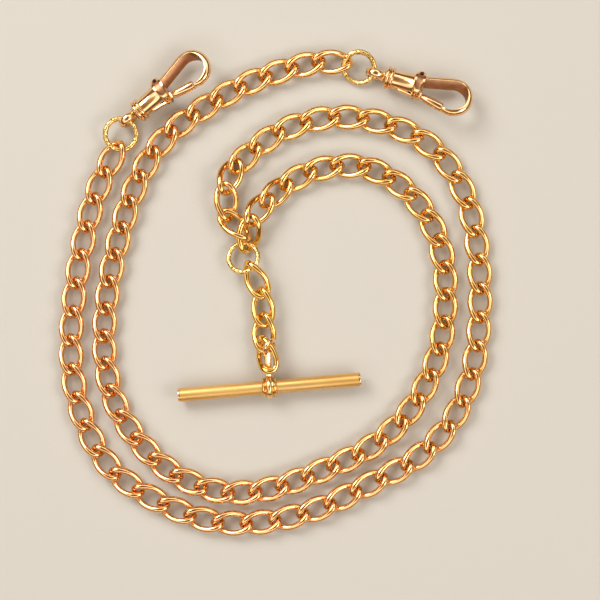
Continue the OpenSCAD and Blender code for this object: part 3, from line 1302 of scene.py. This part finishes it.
@dataclass
class Studio:
    """The floor, the light and the camera, in millimetres."""

    view_width: float = 105.0
    view_centre: Pair = (4.24, -1.28)
    lens: float = 85.0
    sensor: float = 36.0
    floor_width: float = 4200.0
    room_light: float = 2.0
    dimmest: float = 0.6
    dim_until: float = 0.38
    bright_from: float = 0.62
    window_scale: float = 1.9
    room_tones: tuple[tuple[float, Colour], ...] = (
        (0.0, (0.20, 0.13, 0.085)),
        (0.34, (0.10, 0.05, 0.03)),
        (0.5, (0.16, 0.10, 0.065)),
        (0.56, (1.0, 0.95, 0.86)),
        (0.79, (1.0, 0.97, 0.90)),
        (0.85, (0.34, 0.25, 0.17)),
        (0.95, (0.20, 0.13, 0.085)),
        (1.0, (0.13, 0.08, 0.05)),
    )

    def build(self, low: Vector) -> None:
        """Sets up the studio round the object.

        Args:
            low: The object's lowest corner.
        """
        self._floor(low)
        self._sky()
        self._lamps()
        self._camera()

    def _floor(self, low: Vector) -> None:
        """Lays the pale floor under the object.

        Args:
            low: The object's lowest corner.
        """
        bpy.ops.object.select_all(action="DESELECT")
        bpy.ops.mesh.primitive_plane_add(size=self.floor_width * MM, location=(0.0, 0.0, low.z))
        floor = bpy.context.object
        floor.name = "floor"
        floor.data.materials.append(LinenFinish().make())
        floor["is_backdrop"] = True

    def _sky(self) -> None:
        """Makes a soft room: dark straight above, a bright band round it, dark walls."""
        world = bpy.data.worlds.new("soft_room")
        bpy.context.scene.world = world
        world.use_nodes = True
        tree = world.node_tree
        background = tree.nodes["Background"]
        place = tree.nodes.new("ShaderNodeTexCoord").outputs["Generated"]
        parts = tree.nodes.new("ShaderNodeSeparateXYZ")
        ramp = tree.nodes.new("ShaderNodeValToRGB")
        stops = self.room_tones
        for position, colour in stops[1:-1]:
            ramp.color_ramp.elements.new(position).color = (*colour, 1.0)
        ramp.color_ramp.elements[0].color = (*stops[0][1], 1.0)
        ramp.color_ramp.elements[-1].color = (*stops[-1][1], 1.0)
        tree.links.new(place, parts.inputs["Vector"])
        tree.links.new(parts.outputs["Z"], ramp.inputs["Fac"])
        windows = tree.nodes.new("ShaderNodeTexNoise")
        windows.inputs["Scale"].default_value = self.window_scale
        windows.inputs["Detail"].default_value = 1.0
        tree.links.new(place, windows.inputs["Vector"])
        level = tree.nodes.new("ShaderNodeMapRange")
        level.inputs["From Min"].default_value = self.dim_until
        level.inputs["From Max"].default_value = self.bright_from
        level.inputs["To Min"].default_value = self.dimmest * self.room_light
        level.inputs["To Max"].default_value = self.room_light
        tree.links.new(windows.outputs["Fac"], level.inputs["Value"])
        tree.links.new(ramp.outputs["Color"], background.inputs["Color"])
        tree.links.new(level.outputs["Result"], background.inputs["Strength"])
        bpy.context.scene.view_settings.view_transform = "Standard"

    @staticmethod
    def _lamps() -> None:
        """Hangs two soft windows over the table, at places in metres."""
        for name, place, size, power, colour in (
            ("window_left", (-0.34, 0.34, 0.44), 0.34, 2.2, (1.0, 0.97, 0.90)),
            ("window_right", (0.42, -0.16, 0.42), 0.26, 0.8, (1.0, 0.94, 0.84)),
        ):
            lamp = bpy.data.lights.new(name, "AREA")
            lamp.energy = power
            lamp.size = size
            lamp.color = colour
            obj = bpy.data.objects.new(name, lamp)
            bpy.context.scene.collection.objects.link(obj)
            obj.location = place
            obj.rotation_euler = (-Vector(place)).to_track_quat("-Z", "Y").to_euler()

    def _camera(self) -> None:
        """Hangs the camera straight above the table."""
        data = bpy.data.cameras.new("camera")
        data.lens = self.lens
        data.sensor_width = self.sensor
        camera = bpy.data.objects.new("camera", data)
        bpy.context.scene.collection.objects.link(camera)
        height = self.view_width * self.lens / self.sensor
        camera.location = Vector((*self.view_centre, height)) * MM
        bpy.context.scene.camera = camera


# ---------------------------------------------------------------- main


def main() -> None:
    """Builds the chain's pieces and the studio."""
    logging.basicConfig(level=logging.INFO, format="%(name)s: %(message)s")
    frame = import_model()
    cad_box = [list(corner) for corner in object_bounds()]
    strand_gold, ring_gold = STRAND_GOLD.make(), RING_GOLD.make()
    clip_gold, dull_painted_shade, steel = CLIP_GOLD.make(), CLIP_DULL_PAINTED_SHADE.make(), SPRING_STEEL.make()

    nodes = sorted(frame["nodes"])
    for side in Side:
        strand = CurbLinks(strand_gold, f"strand_{side.value}_gold")
        for node in nodes:
            if node.startswith(f"strand_{side.value}_"):
                strand.build(frame, node)
        LOG.info("strand %s has %d links", side.value, strand.made)
    drop = CurbLinks(DROP_GOLD.make(), "drop_gold")
    for node in nodes:
        if node == "centre_link" or node.startswith("drop_link_"):
            drop.build(frame, node)
    HammeredRing(ring_gold, width=6.0, wire=0.84).build(frame, "junction_ring")
    for side in Side:
        HammeredRing(ring_gold).build(frame, f"clip_ring_{side.value}")
        DogClip(side, clip_gold, dull_painted_shade, steel).build(frame)
    TBar(BAR_SATIN.make(), CAP_POLISHED.make(), COLLAR_GOLD.make()).build(frame)
    Studio().build(Vector(cad_box[0]))


if __name__ == "__main__":
    main()
